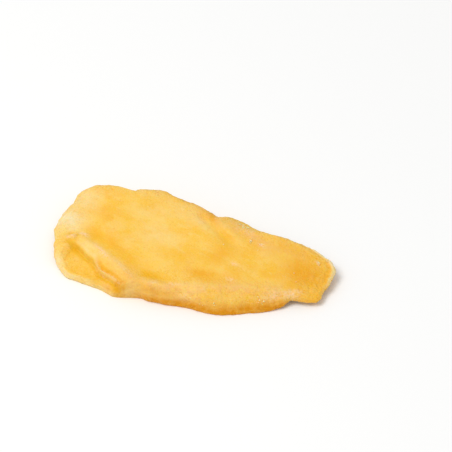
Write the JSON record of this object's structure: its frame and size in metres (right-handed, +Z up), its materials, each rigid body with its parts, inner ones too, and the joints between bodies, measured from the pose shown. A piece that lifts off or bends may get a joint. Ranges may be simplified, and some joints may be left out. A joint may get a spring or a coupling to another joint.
{
  "type": "dried mango slice",
  "caption": "Long oval slice of dried mango with rolled-down rims, one corner folded under along a pleat, and a thin raised tip.",
  "frame": {"origin": "middle of the slice's plan, on the surface that it rests on", "axes": "+X from the folded end to the thin tip, +Y from the front edge to the rear edge, +Z up"},
  "size_m": [0.1198, 0.0584, 0.0133],
  "materials": {
    "mango_flesh": "matt, sugary, slightly translucent dried fruit flesh"
  },
  "bodies": {
    "root": {"mango_slice": "mango_flesh"}
  },
  "joints": []
}
